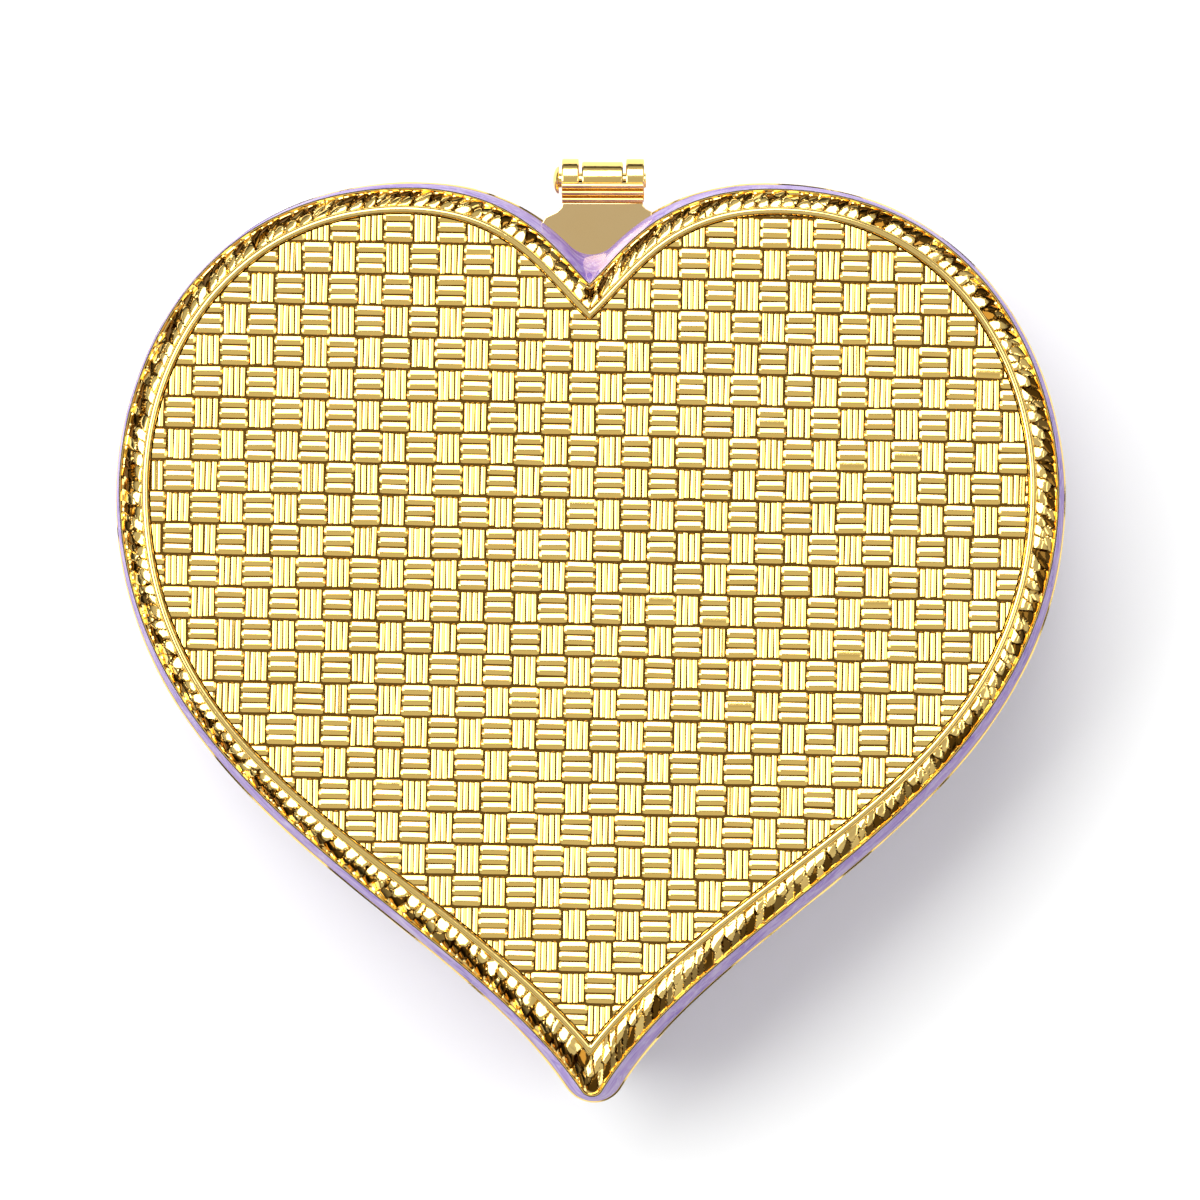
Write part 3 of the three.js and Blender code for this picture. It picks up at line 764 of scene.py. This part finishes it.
def turned(name, profile, steps=64):
    """A lathe piece round the hinge's axis. The profile is (along X, radius) and closes on itself."""
    bpy.ops.object.select_all(action="DESELECT")
    bpy.ops.mesh.primitive_circle_add(vertices=len(profile), radius=0.001, fill_type="NOTHING")
    piece = bpy.context.object
    piece.name = name
    corners = np.array([(x, HINGE_Y, HINGE_Z + radius) for x, radius in profile])
    piece.data.vertices.foreach_set("co", (corners * MM).ravel())
    bpy.ops.object.mode_set(mode="EDIT")
    bpy.ops.mesh.select_all(action="SELECT")
    bpy.ops.mesh.spin(steps=steps, angle=2 * math.pi, center=(0, HINGE_Y * MM, HINGE_Z * MM), axis=(1, 0, 0))
    bpy.ops.mesh.select_all(action="SELECT")
    bpy.ops.mesh.remove_doubles(threshold=1e-6)
    bpy.ops.mesh.normals_make_consistent(inside=False)
    bpy.ops.object.mode_set(mode="OBJECT")
    return piece


def knuckle(name, left, right, radius):
    """A knuckle with its bore, its outer edges eased."""
    edge, eased = 0.12, 0.035
    return turned(name, [(left, BORE_RADIUS), (left, radius - edge), (left + eased, radius - eased),
                         (left + edge, radius), (right - edge, radius), (right - eased, radius - eased),
                         (right, radius - edge), (right, BORE_RADIUS)])


def web_corners(rear, z):
    """The web's outline from above: square at the ribs, then sweeping out and down to the notch."""
    left, right = BARREL_LEFT + 0.05, BARREL_RIGHT - 0.1
    return [(x, y, z) for x, y in (
        (right, rear), (left, rear), (left - 0.02, 36.35), (left - 0.1, 36.1), (left - 0.45, 35.75),
        (left - 1.4, 35.3), (-4.4, 34.3), (0, 30.8), (5.0, 34.7), (right + 0.75, 35.75),
        (right + 0.2, 36.05), (right + 0.04, 36.3))]


def rib_corners(x):
    """The side view of the three ribs, each higher than the one in front."""
    start, top = HINGE_Y - WEB_REAR, RIB_BASES[0] - 0.1
    corners = [(x, start - 0.4, LID_SEAM), (x, start - 0.4, top), (x, start, top)]
    for k, base in enumerate(RIB_BASES):
        for angle in range(165, 0, -25):
            a = math.radians(angle)
            along = start + RIB_PITCH * (k + 0.5 + 0.5 * math.cos(a))
            corners.append((x, along, base + RIB_RADIUS * math.sin(a) - 0.02))
    rear = start + len(RIB_BASES) * RIB_PITCH
    return corners + [(x, rear, 15.4), (x, rear, LID_SEAM)]


def mirror_gilt():
    finish = Finish("mirror gilt")
    cloud = finish.grain(4.0, 2.0)
    colour = finish.blend(cloud, (1.0, 0.69, 0.30, 1.0), (1.0, 0.73, 0.36, 1.0))
    return finish.lay_on(colour, 0.07, finish.grain(1.6, 1.0), 0.002, Metallic=1.0)


lid_web = outline_solid("lid_web", web_corners(HINGE_Y - WEB_REAR, LID_SEAM),
                        (0, 0, LID_WEB_THICK), WEB_EASED)
lid_web.data.materials.append(mirror_gilt())
lid_ribs = outline_solid("lid_ribs", rib_corners(BARREL_LEFT + 0.05), (BARREL - 0.15, 0, 0), 0)
for name, left, right, radius in (
        ("clearance", CENTRE_LEFT - KNUCKLE_GAP, CENTRE_RIGHT + KNUCKLE_GAP, OUTER_RADIUS),
        ("bore", BARREL_LEFT - 1, BARREL_RIGHT + 1, BORE_RADIUS)):
    cutter = turned(name, [(left, ON_AXIS), (left, radius), (right, radius), (right, ON_AXIS)])
    select_only(lid_ribs)
    bpy.ops.object.modifier_add(type="BOOLEAN")
    cut_away = lid_ribs.modifiers[-1]
    cut_away.operation, cut_away.object, cut_away.solver = "DIFFERENCE", cutter, "EXACT"
    bpy.ops.object.modifier_apply(modifier=cut_away.name)
    bpy.data.objects.remove(cutter)
left_knuckle = knuckle("left", BARREL_LEFT, BARREL_LEFT + KNUCKLES[0], OUTER_RADIUS)
right_knuckle = knuckle("right", BARREL_RIGHT - KNUCKLES[2], BARREL_RIGHT, OUTER_RADIUS)
base_web = outline_solid("base_web", web_corners(HINGE_Y - WEB_REAR - 0.1, BASE_HEIGHT - BASE_WEB_THICK),
                         (0, 0, BASE_WEB_THICK), WEB_EASED)
neck = outline_solid("neck", [(CENTRE_LEFT, HINGE_Y + y, z) for y, z in NECK],
                     (CENTRE_RIGHT - CENTRE_LEFT, 0, 0), 0)
middle_knuckle = knuckle("middle", CENTRE_LEFT, CENTRE_RIGHT, MIDDLE_RADIUS)
for part in (lid_ribs, left_knuckle, right_knuckle, base_web, neck, middle_knuckle):
    part.data.materials.append(POLISHED_GILT)
for part, angle in ((lid_web, 15), (lid_ribs, 28), (left_knuckle, 15), (right_knuckle, 15),
                    (base_web, 15), (neck, 15), (middle_knuckle, 15)):
    smooth(part, angle)
lid_leaf = join([lid_web, lid_ribs, left_knuckle, right_knuckle], "lid_leaf")
base_leaf = join([base_web, neck, middle_knuckle], "base_leaf")
for leaf, body, node in ((lid_leaf, "box_lid", "lid"), (base_leaf, "box_base", "base")):
    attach(leaf, body)
    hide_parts(node)

# The pin is a turned brass rod with a low domed head, pushed through the knuckles from the left.
# It is gilt like the hinge, and its other end is cut off just past the last knuckle.
PIN_RADIUS, HEAD_RADIUS, HEAD_HEIGHT = 0.62, 1.16, 0.5
under_head, pin_end = BARREL_LEFT - KNUCKLE_GAP, BARREL_RIGHT + 0.15
head = under_head - HEAD_HEIGHT
pin_profile = [(head + HEAD_HEIGHT * (1 - math.sin(math.radians(a))), HEAD_RADIUS * math.cos(math.radians(a)))
               for a in (89.5, 75, 58, 40, 22, 8)]
pin_profile += [(under_head - 0.05, HEAD_RADIUS), (under_head, HEAD_RADIUS - 0.05), (under_head, PIN_RADIUS),
                (pin_end - 0.06, PIN_RADIUS), (pin_end, PIN_RADIUS - 0.07), (pin_end, 0.005)]
hinge_rod = turned("hinge_rod", pin_profile, 48)
hinge_rod.data.materials.append(POLISHED_GILT)
smooth(hinge_rod, 35)
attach(hinge_rod, "box_base")
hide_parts("hinge_pin")


# The studio: a white sweep under the box, a large soft light to the upper left, a dimmer one
# low on the right, and a quiet grey above where the camera looks straight down.
bpy.ops.object.select_all(action="DESELECT")
bpy.ops.mesh.primitive_plane_add(size=6.0, location=(0, 0, -0.00002))
floor = bpy.context.object
floor.name = "floor"
paper = Finish("white paper")
floor.data.materials.append(paper.lay_on(paper.blend(
    paper.grain(60.0, 2.0), (0.842, 0.852, 0.834, 1.0), (0.857, 0.867, 0.849, 1.0)), 0.9))


def soft_light(name, azimuth, elevation, distance, width, height, radiance):
    """A soft box aimed at the middle of the face. Azimuth runs anticlockwise from the right."""
    a, e = math.radians(azimuth), math.radians(elevation)
    lamp = bpy.data.lights.new(name, "AREA")
    lamp.shape, lamp.size, lamp.size_y = "RECTANGLE", width, height
    lamp.energy = radiance * math.pi * width * height
    box = bpy.data.objects.new(name, lamp)
    way = Vector((math.cos(a) * math.cos(e), math.sin(a) * math.cos(e), math.sin(e)))
    box.location = way * distance + Vector((0, 0, 0.02))
    box.rotation_euler = way.to_track_quat("Z", "Y").to_euler()
    box.visible_camera = False
    bpy.context.scene.collection.objects.link(box)


soft_light("key", 138, 59, 1.1, 1.7, 0.62, 5.5)
soft_light("right_card", 8, 58, 1.1, 0.8, 0.45, 1.9)

world = bpy.data.worlds.new("studio")
world.use_nodes = True
bpy.context.scene.world = world
sky = world.node_tree
direction = sky.nodes.new("ShaderNodeTexCoord")
split = sky.nodes.new("ShaderNodeSeparateXYZ")
ramp = sky.nodes.new("ShaderNodeValToRGB")
sky.links.new(direction.outputs["Generated"], split.inputs[0])
sky.links.new(split.outputs[2], ramp.inputs[0])
sky.links.new(ramp.outputs[0], sky.nodes["Background"].inputs[0])
levels = ((0.0, 0.03), (0.18, 0.06), (0.42, 0.55), (0.75, 0.62), (0.94, 0.66), (0.993, 0.53), (1.0, 0.53))
while len(ramp.color_ramp.elements) < len(levels):
    ramp.color_ramp.elements.new(0.5)
for stop, (at, level) in zip(ramp.color_ramp.elements, levels):
    stop.position, stop.color = at, (level, level, level, 1.0)

# The camera hangs above the box, a little right of its middle, and looks almost straight down.
lens = bpy.data.cameras.new("camera")
lens.lens, lens.sensor_width = 4046.6 * 36 / 1200, 36
lens.clip_start, lens.clip_end = 0.01, 20
camera = bpy.data.objects.new("camera", lens)
camera.rotation_mode = "ZYX"
camera.rotation_euler = [math.radians(a) for a in (0.655, 0.519, 0.227)]
camera.location = Vector((3.88, -0.25, 349.8)) * MM
bpy.context.scene.collection.objects.link(camera)
bpy.context.scene.camera = camera
bpy.context.scene.view_settings.view_transform = "Standard"
